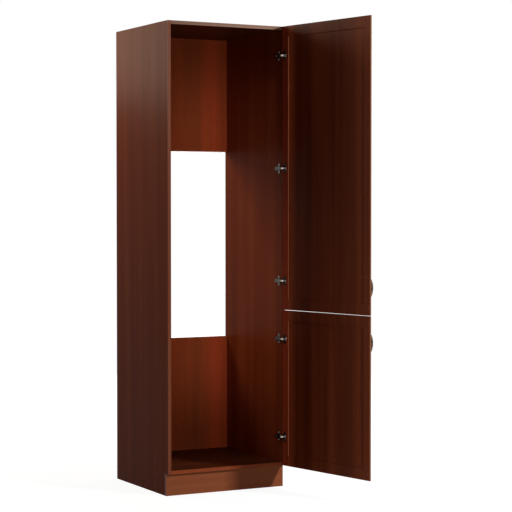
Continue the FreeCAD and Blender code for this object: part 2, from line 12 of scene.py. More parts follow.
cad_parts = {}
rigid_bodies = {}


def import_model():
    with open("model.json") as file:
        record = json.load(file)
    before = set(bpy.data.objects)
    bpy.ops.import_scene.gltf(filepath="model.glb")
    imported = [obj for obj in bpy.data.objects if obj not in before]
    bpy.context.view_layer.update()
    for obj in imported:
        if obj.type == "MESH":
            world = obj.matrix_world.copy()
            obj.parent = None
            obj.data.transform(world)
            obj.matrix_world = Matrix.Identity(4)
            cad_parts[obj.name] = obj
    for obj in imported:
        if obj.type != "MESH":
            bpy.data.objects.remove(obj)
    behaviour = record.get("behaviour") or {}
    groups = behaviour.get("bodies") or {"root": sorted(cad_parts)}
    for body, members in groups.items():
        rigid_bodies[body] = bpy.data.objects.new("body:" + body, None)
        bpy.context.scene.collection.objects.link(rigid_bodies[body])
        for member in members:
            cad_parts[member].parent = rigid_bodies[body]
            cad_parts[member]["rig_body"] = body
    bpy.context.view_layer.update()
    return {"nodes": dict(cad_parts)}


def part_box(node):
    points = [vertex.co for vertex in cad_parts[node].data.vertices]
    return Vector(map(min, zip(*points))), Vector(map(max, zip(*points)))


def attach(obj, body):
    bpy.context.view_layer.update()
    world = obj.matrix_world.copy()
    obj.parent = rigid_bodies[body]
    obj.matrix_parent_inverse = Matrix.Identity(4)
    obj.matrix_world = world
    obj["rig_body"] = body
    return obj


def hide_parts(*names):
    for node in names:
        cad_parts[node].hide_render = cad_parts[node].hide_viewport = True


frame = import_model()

logging.basicConfig(level=logging.INFO, format="%(message)s")
log = logging.getLogger("fridge_housing")

Colour = tuple[float, float, float, float]
FaceTest = Callable[[bpy.types.MeshPolygon], bool]

MM = 0.001  # a millimetre in metres
OPEN_ANGLE = math.radians(101.1)  # how far both doors stand open at rest
OPENED = Matrix.Rotation(OPEN_ANGLE, 3, "Z")
JOIN_DISTANCE = 0.000002  # corners of a CAD mesh that are closer, in metres, are one corner
HEAD_DISTANCE = 0.00001  # corners this near to a head's outer face, in metres, are on it
FLAT_ANGLE = math.radians(1.0)  # neighbouring faces that differ by less are one flat face
SHARP_ANGLE = math.radians(32.0)  # edges over this angle look sharp
ROUNDED_ANGLE = math.radians(40.0)  # edges over this angle are rounded
ROUNDING_STEPS = 2
WHITE = "#FFFFFF"
NOISE_MIDDLE = 0.5  # the middle of a noise pattern, whose values run from 0 to 1
NOISE_SPAN = (0.3, 0.7)  # most values of a noise pattern lie between these
MIX_FACTOR, MIX_FIRST, MIX_SECOND, MIX_RESULT = 0, 6, 7, 2  # a Mix node's sockets for colours
WIDE_STREAK_MM = (22.0, 900.0)  # streaks on large boards, across the grain and along it
CALM_STREAKS = 0.24  # how far the streaks of a calm figure go towards its dark colour


class Grain(Enum):
    """The way the wood figure runs on a board, in the board's own axes."""

    UPRIGHT = "upright"
    ACROSS = "across"


class Turn(Enum):
    """How far a board's own axes are turned about the upright from the cabinet's axes."""

    CARCASS = 0.0
    DOOR = OPEN_ANGLE


class Leaf(Enum):
    """The two doors, by the word that the names of their pieces start with."""

    UPPER = "upper"
    LOWER = "lower"


def linear(colour: str) -> Colour:
    """Turn an sRGB hex colour into linear values.

    Args:
        colour: six hex digits after a hash sign.

    Returns:
        Red, green, blue and a full alpha, linear.
    """
    parts = [int(colour[i:i + 2], 16) / 255.0 for i in (1, 3, 5)]
    values = [p / 12.92 if p <= 0.04045 else ((p + 0.055) / 1.055) ** 2.4 for p in parts]
    return values[0], values[1], values[2], 1.0


def add_node(tree: bpy.types.NodeTree, kind: str, settings: dict[str, Any] | None = None,
             inputs: dict[Any, Any] | None = None,
             stops: Iterable[tuple[float, Colour]] = ()) -> bpy.types.Node:
    """Add a node to a tree with its settings, its plain values and its links.

    Args:
        tree: the tree that gets the node.
        kind: the node's type name.
        settings: properties of the node by name.
        inputs: for each input's name or place, a value or the socket that feeds it.
        stops: a colour ramp's places and linear colours, two or more, from low to high.

    Returns:
        The new node.
    """
    node = tree.nodes.new(kind)
    for name, value in (settings or {}).items():
        setattr(node, name, value)
    for key, value in (inputs or {}).items():
        if isinstance(value, bpy.types.NodeSocket):
            tree.links.new(value, node.inputs[key])
        else:
            node.inputs[key].default_value = value
    for index, (place, colour) in enumerate(stops):
        elements = node.color_ramp.elements
        element = elements[index] if index < 2 else elements.new(place)  # a new ramp has two
        element.position = place
        element.color = colour
    return node


def new_material(name: str) -> tuple[bpy.types.Material, bpy.types.NodeTree]:
    """Make an empty node material.

    Args:
        name: the material's name.

    Returns:
        The material and its node tree.
    """
    material = bpy.data.materials.new(name)
    material.use_nodes = True
    material.node_tree.nodes.clear()
    return material, material.node_tree


@dataclass(frozen=True)
class FiguredTimber:
    """A mahogany figure printed on melamine, or plain beech: bands, streaks and short pores."""

    name: str
    grain: Grain
    turn: Turn = Turn.CARCASS
    dark: str = "#6C2D15"
    middle: str = "#7E381C"
    light: str = "#8E4526"
    pore: str = "#4A1C0B"
    roughness: float = 0.36
    roughness_swing: tuple[float, float] = (-0.03, 0.04)
    ior: float = 1.5
    gloss: float = 0.01
    sheen: str = "#FFDCC8"
    # painted light and shade: places across the board, in metres, each with how much lighter the
    # bands are there
    painted_light_stops: tuple[tuple[float, float], ...] = ()
    figure_span: float = 0.2
    # each pattern's size across the grain and along it, then its detail and its bend
    band_mm: tuple[float, float] = (85.0, 2600.0)
    band_noise: tuple[float, float] = (2.0, 0.25)
    streak_mm: tuple[float, float] = (13.0, 900.0)
    streak_noise: tuple[float, float] = (4.0, 0.1)
    # real pores are about 0.3 mm wide: drawn four times as coarse, so that close views show them
    pore_mm: tuple[float, float] = (1.2, 34.0)
    pore_noise: tuple[float, float] = (1.0, 0.0)
    noise_roughness: float = 0.55
    # the noise values between which a streak or a pore sets in, and how strong it gets
    streak_onset: tuple[float, float] = (0.45, 0.75)
    streak_share: float = 0.34
    pore_onset: tuple[float, float] = (0.6, 0.74)
    pore_share: float = 0.5
    pore_depth_mm: float = 0.06
    relief: float = 0.25

    def stretch(self, size_mm: tuple[float, float]) -> tuple[float, float, float]:
        """Scale of a pattern along the board's axes.

        Args:
            size_mm: the pattern's size across the grain and along it.

        Returns:
            Repeats per metre along the board's three axes.
        """
        across, along = (1.0 / (size * MM) for size in size_mm)
        return {
            Grain.UPRIGHT: (across, across, along),
            Grain.ACROSS: (along, across, across),
        }[self.grain]

    def shifted(self, tree: bpy.types.NodeTree, own: bpy.types.NodeSocket,
                band: bpy.types.NodeSocket) -> bpy.types.NodeSocket:
        """Paint light and shade across the board by making the bands darker or lighter there.

        Args:
            tree: the finish's node tree.
            own: the place in the board's own axes.
            band: the broad bands, from 0 to 1.

        Returns:
            The bands with the shift of tone added, or as they are on a plain board.
        """
        if not self.painted_light_stops:
            return band
        first, last = self.painted_light_stops[0][0], self.painted_light_stops[-1][0]
        width = add_node(tree, "ShaderNodeSeparateXYZ", None, {"Vector": own}).outputs["X"]
        share = add_node(tree, "ShaderNodeMapRange", None, {
            "Value": width, "From Min": first, "From Max": last}).outputs["Result"]
        greys = [NOISE_MIDDLE + shift for _, shift in self.painted_light_stops]
        tone = add_node(tree, "ShaderNodeValToRGB", None, {"Fac": share}, [
            ((place - first) / (last - first), (grey, grey, grey, 1.0))
            for (place, _), grey in zip(self.painted_light_stops, greys)])
        tone.color_ramp.interpolation = "EASE"
        shift = add_node(tree, "ShaderNodeMath", {"operation": "SUBTRACT"}, {
            0: tone.outputs["Color"], 1: NOISE_MIDDLE}).outputs[0]
        return add_node(tree, "ShaderNodeMath", {"operation": "ADD"}, {
            0: band, 1: shift}).outputs[0]

    def material(self) -> bpy.types.Material:
        """Build the finish.

        Returns:
            A material that reads Object coordinates.
        """
        material, tree = new_material(self.name)
        place = add_node(tree, "ShaderNodeTexCoord").outputs["Object"]
        own = add_node(tree, "ShaderNodeMapping", {"vector_type": "POINT"}, {
            "Vector": place, "Rotation": (0.0, 0.0, -self.turn.value)}).outputs["Vector"]
        noises = []
        for size_mm, (detail, bend) in ((self.band_mm, self.band_noise),
                                        (self.streak_mm, self.streak_noise),
                                        (self.pore_mm, self.pore_noise)):
            stretched = add_node(tree, "ShaderNodeMapping", {"vector_type": "POINT"}, {
                "Vector": own, "Scale": self.stretch(size_mm)}).outputs["Vector"]
            noises.append(add_node(tree, "ShaderNodeTexNoise", None, {
                "Vector": stretched, "Scale": 1.0, "Detail": detail,
                "Roughness": self.noise_roughness, "Distortion": bend}).outputs["Fac"])
        band, streak, pore = noises
        figure = add_node(tree, "ShaderNodeValToRGB", None, {
            "Fac": self.shifted(tree, own, band)}, (
                (NOISE_MIDDLE - self.figure_span, linear(self.dark)),
                (NOISE_MIDDLE, linear(self.middle)),
                (NOISE_MIDDLE + self.figure_span, linear(self.light))))
        streaks = add_node(tree, "ShaderNodeMapRange", None, {
            "Value": streak, "From Min": self.streak_onset[0], "From Max": self.streak_onset[1],
            "To Min": 0.0, "To Max": self.streak_share}).outputs["Result"]
        pores = add_node(tree, "ShaderNodeMapRange", None, {
            "Value": pore, "From Min": self.pore_onset[0], "From Max": self.pore_onset[1],
            "To Min": 0.0, "To Max": self.pore_share}).outputs["Result"]
        mixing = {"data_type": "RGBA", "blend_type": "MIX"}
        streaked = add_node(tree, "ShaderNodeMix", mixing, {
            MIX_FACTOR: streaks, MIX_FIRST: figure.outputs["Color"],
            MIX_SECOND: linear(self.dark)}).outputs[MIX_RESULT]
        coloured = add_node(tree, "ShaderNodeMix", mixing, {
            MIX_FACTOR: pores, MIX_FIRST: streaked,
            MIX_SECOND: linear(self.pore)}).outputs[MIX_RESULT]
        rough = add_node(tree, "ShaderNodeMapRange", None, {
            "Value": streak, "From Min": NOISE_SPAN[0], "From Max": NOISE_SPAN[1],
            "To Min": self.roughness + self.roughness_swing[0],
            "To Max": self.roughness + self.roughness_swing[1]})
        relief = add_node(tree, "ShaderNodeBump", {"invert": True}, {
            "Strength": self.relief, "Distance": self.pore_depth_mm * MM, "Height": pores})
        surface = add_node(tree, "ShaderNodeBsdfPrincipled", None, {
            "Base Color": coloured, "Roughness": rough.outputs["Result"],
            "Normal": relief.outputs["Normal"], "IOR": self.ior,
            "Specular IOR Level": self.gloss, "Specular Tint": linear(self.sheen)})
        add_node(tree, "ShaderNodeOutputMaterial", None, {"Surface": surface.outputs["BSDF"]})
        return material


@dataclass(frozen=True)
class PlatedMetal:
    """Pressed or cast metal with a plated skin: a clear highlight and a faint cloudy mottle."""

    name: str
    bright: str
    dull: str
    roughness: float
    roughness_swing: tuple[float, float] = (-0.05, 0.08)
    mottle_mm: float = 4.0
    mottle_detail: float = 3.0
    mottle_span: tuple[float, float] = (0.35, 0.62)
    # real drawing marks are finer: drawn this coarse, so that close views show them
    scratch_mm: tuple[float, float] = (0.35, 12.0)
    scratch_detail: float = 2.0
    scratch_depth_mm: float = 0.03
    relief: float = 0.12

    def material(self) -> bpy.types.Material:
        """Build the finish.

        Returns:
            A material that reads Object coordinates.
        """
        material, tree = new_material(self.name)
        place = add_node(tree, "ShaderNodeTexCoord").outputs["Object"]
        mottle = add_node(tree, "ShaderNodeTexNoise", None, {
            "Vector": place, "Scale": 1.0 / (self.mottle_mm * MM),
            "Detail": self.mottle_detail}).outputs["Fac"]
        across, along = (1.0 / (size * MM) for size in self.scratch_mm)
        drawn = add_node(tree, "ShaderNodeMapping", {"vector_type": "POINT"}, {
            "Vector": place, "Scale": (across, along, across)}).outputs["Vector"]
        scratch = add_node(tree, "ShaderNodeTexNoise", None, {
            "Vector": drawn, "Scale": 1.0, "Detail": self.scratch_detail}).outputs["Fac"]
        colour = add_node(tree, "ShaderNodeValToRGB", None, {"Fac": mottle}, (
            (self.mottle_span[0], linear(self.dull)), (self.mottle_span[1], linear(self.bright))))
        rough = add_node(tree, "ShaderNodeMapRange", None, {
            "Value": scratch, "From Min": NOISE_SPAN[0], "From Max": NOISE_SPAN[1],
            "To Min": self.roughness + self.roughness_swing[0],
            "To Max": self.roughness + self.roughness_swing[1]})
        relief = add_node(tree, "ShaderNodeBump", None, {
            "Strength": self.relief, "Distance": self.scratch_depth_mm * MM, "Height": scratch})
        surface = add_node(tree, "ShaderNodeBsdfPrincipled", None, {
            "Base Color": colour.outputs["Color"], "Metallic": 1.0,
            "Roughness": rough.outputs["Result"], "Normal": relief.outputs["Normal"]})
        add_node(tree, "ShaderNodeOutputMaterial", None, {"Surface": surface.outputs["BSDF"]})
        return material


@dataclass(frozen=True)
class PlainSkin:
    """Moulded rubber or stoved lacquer: an even colour, slightly cloudy, with a fine skin."""

    name: str
    clear: str
    cloudy: str
    roughness: float
    ior: float = 1.45
    cloud_mm: float = 3.0
    cloud_detail: float = 2.0
    cloud_span: tuple[float, float] = (0.4, 0.6)
    skin_depth_mm: float = 0.04
    relief: float = 0.1

    def material(self) -> bpy.types.Material:
        """Build the finish.

        Returns:
            A material that reads Object coordinates.
        """
        material, tree = new_material(self.name)
        place = add_node(tree, "ShaderNodeTexCoord").outputs["Object"]
        cloud = add_node(tree, "ShaderNodeTexNoise", None, {
            "Vector": place, "Scale": 1.0 / (self.cloud_mm * MM),
            "Detail": self.cloud_detail}).outputs["Fac"]
        colour = add_node(tree, "ShaderNodeValToRGB", None, {"Fac": cloud}, (
            (self.cloud_span[0], linear(self.cloudy)), (self.cloud_span[1], linear(self.clear))))
        relief = add_node(tree, "ShaderNodeBump", None, {
            "Strength": self.relief, "Distance": self.skin_depth_mm * MM, "Height": cloud})
        surface = add_node(tree, "ShaderNodeBsdfPrincipled", None, {
            "Base Color": colour.outputs["Color"], "Roughness": self.roughness,
            "Normal": relief.outputs["Normal"], "IOR": self.ior})
        add_node(tree, "ShaderNodeOutputMaterial", None, {"Surface": surface.outputs["BSDF"]})
        return material


def paint(nodes: Iterable[str], material: bpy.types.Material) -> None:
    """Give CAD nodes a finish.

    Args:
        nodes: the nodes' names.
        material: the finish for all of their faces.
    """
    for name in nodes:
        mesh = frame["nodes"][name].data
        mesh.materials.clear()
        mesh.materials.append(material)
        log.info("%s: %s", name, material.name)


def link_piece(name: str, mesh: bpy.types.Mesh) -> bpy.types.Object:
    """Put a mesh into the scene as an object at the origin.

    Args:
        name: the piece's name.
        mesh: its mesh, already in place.

    Returns:
        The new object.
    """
    piece = bpy.data.objects.new(name, mesh)
    bpy.context.scene.collection.objects.link(piece)
    return piece


def merged_copy(node: str) -> bmesh.types.BMesh:
    """Copy a CAD node's mesh with its loose triangles joined.

    Args:
        node: the node's name.

    Returns:
        The joined copy.
    """
    shape = bmesh.new()
    shape.from_mesh(frame["nodes"][node].data)
    bmesh.ops.remove_doubles(shape, verts=shape.verts, dist=JOIN_DISTANCE)
    return shape


def flatten(piece: bpy.types.Object) -> bpy.types.Mesh:
    """Evaluate a piece's modifiers into a plain mesh.

    Args:
        piece: an object with live modifiers.

    Returns:
        The evaluated mesh.
    """
    bpy.context.view_layer.update()
    graph = bpy.context.evaluated_depsgraph_get()
    return bpy.data.meshes.new_from_object(piece.evaluated_get(graph))


def smooth(mesh: bpy.types.Mesh) -> None:
    """Shade a mesh smoothly, with its sharp edges kept."""
    mesh.polygons.foreach_set("use_smooth", [True] * len(mesh.polygons))
    mesh.set_sharp_from_angle(angle=SHARP_ANGLE)


def refinish(piece: bpy.types.Object, material: bpy.types.Material, wanted: FaceTest) -> None:
    """Give some faces of a piece a finish of their own.

    Args:
        piece: the piece, which keeps its first finish elsewhere.
        material: the finish of those faces.
        wanted: tells whether a face is one of them.
    """
    index = len(piece.data.materials)
    piece.data.materials.append(material)
    for face in piece.data.polygons:
        if wanted(face):
            face.material_index = index


def softened(node: str, width_mm: float, material: bpy.types.Material) -> bpy.types.Object:
    """Stand for a CAD node with a copy whose edges are slightly rounded.

    Args:
        node: the node's name.
        width_mm: the width of the rounding.
        material: the finish.

    Returns:
        The new piece, which rides on the node's body and replaces it.
    """
    shape = merged_copy(node)
    bmesh.ops.dissolve_limit(shape, angle_limit=FLAT_ANGLE, verts=shape.verts, edges=shape.edges)
    rough = bpy.data.meshes.new(f"{node}_blank")
    shape.to_mesh(rough)
    shape.free()
    smooth(rough)
    blank = link_piece(f"{node}_blank", rough)
    rounding = blank.modifiers.new("rounding", "BEVEL")
    rounding.width = width_mm * MM
    rounding.segments = ROUNDING_STEPS
    rounding.limit_method = "ANGLE"
    rounding.angle_limit = ROUNDED_ANGLE
    rounding.use_clamp_overlap = True
    blank.modifiers.new("flat_faces", "WEIGHTED_NORMAL").keep_sharp = True
    mesh = flatten(blank)
    bpy.data.objects.remove(blank)
    bpy.data.meshes.remove(rough)
    mesh.name = f"{node}_soft"
    mesh.materials.clear()
    mesh.materials.append(material)
    piece = link_piece(f"{node}_piece", mesh)
    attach(piece, frame["nodes"][node]["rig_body"])
    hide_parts(node)
    log.info("%s: %s", piece.name, material.name)
    return piece


@dataclass(frozen=True)
class SoftBox:
    """A square or oblong lamp with an even face: its power in watts, its size and its places."""

    name: str
    power: float
    size: tuple[float, float]
    place: tuple[float, float, float]
    aim: tuple[float, float, float]
    spread: float = 180.0
    tint: str = WHITE


@dataclass
class Studio:
    """Camera at the photograph's place, soft light and a pale floor."""

    eye: tuple[float, float, float] = (-3.4708, -6.84, 1.2965)
    # in degrees, to the right of straight ahead and upwards
    yaw: float = 27.976
    pitch: float = -1.6135
    lens_mm: float = 117.712
    sensor_mm: float = 36.0
    view_depth: float = 200.0
    ambient: float = 0.04  # the surround's strength to rays that light the object
    floor_size: float = 60.0
    floor_grey: str = "#6F6F6F"
    # metres from the origin over which the floor's glow rises, and its strength at each end
    shadow_reach: tuple[float, float] = (0.8, 2.2)
    floor_glow: tuple[float, float] = (0.92, 1.0)
    boxes: tuple[SoftBox, ...] = (
        # from the front right: lights the plinth and throws the open doors' shadow on it
        SoftBox("key", 188.0, (0.4, 0.4), (2.4, -3.97, 2.55), (0.0, 0.0, 1.07)),
        # far in front: lights all that faces forwards
        SoftBox("front_fill", 162.0, (2.4, 1.2), (-0.4, -9.0, 1.15), (0.0, 0.0, 1.15)),
        # high behind the left side: the warm haze on its upper half
        SoftBox("left_box", 24.5, (1.0, 1.0), (-1.0, 1.75, 2.4), (-0.3, 0.2, 1.8),
                tint="#FFF0D5"),
        # in the cabinet: the glow on the right side's inner face and on the back boards
        SoftBox("bay_fill", 0.185, (0.3, 1.2), (-0.1, 0.06, 1.15), (0.284, 0.35, 1.15), 110.0),
        SoftBox("back_fill", 0.585, (0.3, 1.52), (0.16, 0.02, 1.14), (0.16, 1.0, 1.14), 56.0),
        # right and rear: light for the sides that the photograph doesn't show
        SoftBox("right_fill", 110.0, (2.4, 2.4), (4.8, 0.9, 1.6), (0.3, 0.0, 1.1)),
        SoftBox("rear_fill", 110.0, (2.4, 2.4), (1.8, 5.0, 1.6), (0.0, 0.5, 1.1)))

    def build(self) -> None:
        """Set up the camera, the world, the lamps and the floor."""
        scene = bpy.context.scene
        scene.view_settings.view_transform = "Standard"
        lens = bpy.data.cameras.new("camera")
        lens.lens = self.lens_mm
        lens.sensor_width = self.sensor_mm
        lens.clip_end = self.view_depth
        camera = bpy.data.objects.new("camera", lens)
        camera.location = self.eye
        camera.rotation_euler = (math.radians(90.0 + self.pitch), 0.0, -math.radians(self.yaw))
        scene.collection.objects.link(camera)
        scene.camera = camera
        self.build_world(scene)
        self.build_lamps(scene)
        self.build_floor()

    def seen_directly(self, tree: bpy.types.NodeTree) -> bpy.types.NodeSocket:
        """Tell the rays that see the background from those that only light the object.

        Args:
            tree: a world's or a material's node tree.

        Returns:
            A socket that is 1 for camera, glossy and transmission rays.
        """
        path = add_node(tree, "ShaderNodeLightPath")
        either = add_node(tree, "ShaderNodeMath", {"operation": "MAXIMUM"}, {
            0: path.outputs["Is Camera Ray"], 1: path.outputs["Is Glossy Ray"]})
        return add_node(tree, "ShaderNodeMath", {"operation": "MAXIMUM"}, {
            0: either.outputs[0], 1: path.outputs["Is Transmission Ray"]}).outputs[0]

    def build_world(self, scene: bpy.types.Scene) -> None:
        """Make a white surround that lights the object softly.

        Args:
            scene: the scene that gets the world.
        """
        world = bpy.data.worlds.new("white_surround")
        world.use_nodes = True
        tree = world.node_tree
        tree.nodes.clear()
        strength = add_node(tree, "ShaderNodeMapRange", None, {
            "Value": self.seen_directly(tree), "To Min": self.ambient, "To Max": 1.0})
        light = add_node(tree, "ShaderNodeBackground", None, {
            "Color": linear(WHITE), "Strength": strength.outputs["Result"]})
        add_node(tree, "ShaderNodeOutputWorld", None, {"Surface": light.outputs["Background"]})
        scene.world = world

    def build_lamps(self, scene: bpy.types.Scene) -> None:
        """Add the soft boxes, each turned towards its aim and unseen by the camera.

        Args:
            scene: the scene that gets the lamps.
        """
        for box in self.boxes:
            lamp = bpy.data.lights.new(box.name, "AREA")
            lamp.energy = box.power
            lamp.color = linear(box.tint)[:3]
            lamp.shape = "RECTANGLE"
            lamp.size, lamp.size_y = box.size
            lamp.spread = math.radians(box.spread)
            lamp_object = bpy.data.objects.new(box.name, lamp)
            lamp_object.location = box.place
            way = Vector(box.place) - Vector(box.aim)
            lamp_object.rotation_euler = way.to_track_quat("Z", "Y").to_euler()
            lamp_object.visible_camera = False
            scene.collection.objects.link(lamp_object)

    def build_floor(self) -> None:
        """Lay a pale floor that looks white and keeps the object's shadow."""
        half = self.floor_size / 2
        mesh = bpy.data.meshes.new("floor")
        mesh.from_pydata([(-half, -half, 0.0), (half, -half, 0.0), (half, half, 0.0),
                          (-half, half, 0.0)], [], [(0, 1, 2, 3)])
        # matt painted floor: white all round, a little less under the object, so its shadow shows
        material, tree = new_material("pale_floor")
        matt = add_node(tree, "ShaderNodeBsdfDiffuse", None, {"Color": linear(self.floor_grey)})
        place = add_node(tree, "ShaderNodeTexCoord").outputs["Object"]
        distance = add_node(tree, "ShaderNodeVectorMath", {"operation": "LENGTH"}, {0: place})
        whiteness = add_node(tree, "ShaderNodeMapRange", {"interpolation_type": "SMOOTHSTEP"}, {
            "Value": distance.outputs["Value"],
            "From Min": self.shadow_reach[0], "From Max": self.shadow_reach[1],
            "To Min": self.floor_glow[0], "To Max": self.floor_glow[1]})
        glow = add_node(tree, "ShaderNodeEmission", None, {
            "Color": linear(WHITE), "Strength": whiteness.outputs["Result"]})
        white = add_node(tree, "ShaderNodeAddShader", None, {
            0: matt.outputs["BSDF"], 1: glow.outputs["Emission"]})
        either = add_node(tree, "ShaderNodeMixShader", None, {
            0: self.seen_directly(tree), 1: matt.outputs["BSDF"], 2: white.outputs["Shader"]})
        add_node(tree, "ShaderNodeOutputMaterial", None, {"Surface": either.outputs["Shader"]})
        mesh.materials.append(material)
        link_piece("floor", mesh)


@dataclass
class Carcass:
    """The fixed boards, their edge bands and the dowels inside them."""

    backs: tuple[str, ...] = ("upper_back_panel", "lower_back_panel")
    # each board with the way up or down that its outer face looks
    across: tuple[tuple[str, float], ...] = (("top_panel", 1.0), ("bottom_panel", -1.0))
    upright_bands: tuple[str, ...] = ("left_edge_band", "right_edge_band")
    across_bands: tuple[str, ...] = ("bottom_edge_band", "upper_back_edge_band",
                                     "lower_back_edge_band")
    rounding_mm: float = 0.3
    outer_face_share: float = 0.5  # how squarely a face looks outwards to count as outer
    band_roughness: float = 0.3

    def dress(self) -> None:
        """Give every board and band its finish."""
        # printed melamine, satin pressed: red-brown bands that pale to a warm haze at a low angle
        paint(("left_side_panel",), FiguredTimber(
            "mahogany_melamine_left", Grain.UPRIGHT, dark="#743118", middle="#80381B",
            light="#8B4324", sheen="#FFDAAE", streak_mm=WIDE_STREAK_MM,
            streak_share=CALM_STREAKS).material())
        # the same print, darker: painted shade, matched to its inner face in the bay behind the
        # hinges
        paint(("right_side_panel",), FiguredTimber(
            "mahogany_melamine_right_painted_shade", Grain.UPRIGHT, dark="#6C2E16", middle="#78351A",
            light="#843F22", gloss=0.012, streak_mm=WIDE_STREAK_MM,
            streak_share=CALM_STREAKS).material())
        # the same print, darker at the left and lighter, redder at the right: painted light on the
        # back boards
        paint(self.backs, FiguredTimber(
            "mahogany_melamine_back_painted_light", Grain.UPRIGHT, dark="#70331A", middle="#82381C",
            light="#92391E", pore="#4E1C0B", painted_light_stops=((-0.02, -0.13), (0.28, 0.13)),
            streak_mm=WIDE_STREAK_MM).material())
        # the print with its grain laid across: calm bands from side to side on the outer faces
        outside = FiguredTimber("mahogany_melamine_across", Grain.ACROSS, dark="#713017",
                                light="#894224", streak_share=CALM_STREAKS).material()
        # a darker copy of it on the inner faces: painted shade for the bay
        bay_shade = FiguredTimber("mahogany_melamine_bay_painted_shade", Grain.ACROSS, dark="#46200F",
                            middle="#522613", light="#5E2F1A", pore="#331509").material()
        for name, outwards in self.across:
            board = softened(name, self.rounding_mm, bay_shade)
            refinish(board, outside,
                     lambda face: face.normal.z * outwards > self.outer_face_share)
        # printed plinth board, glossier, and lighter than the boards' print: painted light where
        # the key lamp falls
        paint(("plinth_board",), FiguredTimber(
            "mahogany_plinth_board_painted_light", Grain.ACROSS, dark="#7A4025", middle="#894B2F",
            light="#98583B", pore="#5A2A14", gloss=0.09).material())
        # melamine edge tape, ironed on: smoother than the boards, so each edge is a fine pale line
        paint(self.upright_bands, FiguredTimber(
            "mahogany_edge_band_upright", Grain.UPRIGHT, dark="#5E3020", middle="#6E3A26",
            light="#7C4630", roughness=self.band_roughness, gloss=0.05).material())
        # the top band greyer than the others: painted sheen, the pale haze along the top of the
        # unit
        paint(("top_edge_band",), FiguredTimber(
            "mahogany_edge_band_top_painted_sheen", Grain.ACROSS, dark="#634433", middle="#6E4D3B",
            light="#7A5846", pore="#4A2E20", roughness=self.band_roughness,
            gloss=0.06).material())
        # the bands laid across, lighter than the upright ones: painted light, matched to the lit
        # bottom edge
        paint(self.across_bands, FiguredTimber(
            "mahogany_edge_band_across_painted_light", Grain.ACROSS, dark="#883F23", middle="#994C2C",
            light="#AA5B39", roughness=self.band_roughness, gloss=0.09).material())
        # turned beech: pale matt wood with a fine close grain
        paint(("wood_dowels",), FiguredTimber(
            "beech_dowel", Grain.ACROSS, dark="#B08858", middle="#C49C6C", light="#D2AE80",
            pore="#8C6238", roughness=0.6, band_mm=(6.0, 90.0),
            streak_mm=(1.5, 40.0)).material())


@dataclass
class Door:
    """One framed door: stiles, rails, panel, handle and bumpers."""

    leaf: Leaf
    sheets: tuple[str, ...] = ("top_rail", "bottom_rail", "panel")
    rounding_mm: float = 0.3
    button_rounding_mm: float = 0.9
    # how squarely a face looks to the front, or to the free edge, to count as looking there
    front_share: float = 0.3
    edge_share: float = 0.45

    def dress(self, decor_painted_light: bpy.types.Material, red: bpy.types.Material,
              moulding_highlight: bpy.types.Material, edge: bpy.types.Material,
              bronze: bpy.types.Material, rubber: bpy.types.Material) -> None:
        """Give the door's pieces their finishes.

        Args:
            decor_painted_light: the printed figure over the frame and the panel, with painted
                light and shade.
            red: the inside of the hinge stile in a deeper red: painted shade.
            moulding_highlight: the step face between the hinge stile and the panel, painted pale:
                a painted highlight.
            edge: the foil on the door's free edge, in a paler, greyer brown: painted light.
            bronze: the handle's finish.
            rubber: the bumpers' finish.
        """
        side = self.leaf.value
        away, front = OPENED @ Vector((-1.0, 0.0, 0.0)), OPENED @ Vector((0.0, -1.0, 0.0))
        # the stile's inner faces in the deeper red, painted shade; its outer faces in the door's
        # print
        hinge_stile = softened(f"{side}_door_hinge_stile", self.rounding_mm, red)
        refinish(hinge_stile, decor_painted_light, lambda face: face.normal.dot(front) > self.front_share)
        # the step face towards the free edge: a painted highlight
        refinish(hinge_stile, moulding_highlight,
                 lambda face: (face.normal.dot(away) > self.edge_share
                               and face.normal.dot(front) < self.front_share))
        handle_stile = softened(f"{side}_door_handle_stile", self.rounding_mm, decor_painted_light)
        # the free edge in the paler foil: painted light
        refinish(handle_stile, edge, lambda face: face.normal.dot(away) > self.edge_share)
        paint((f"{side}_door_{name}" for name in self.sheets), decor_painted_light)
        softened(f"{side}_handle", self.rounding_mm, bronze)
        softened(f"{side}_door_bumpers", self.button_rounding_mm, rubber)


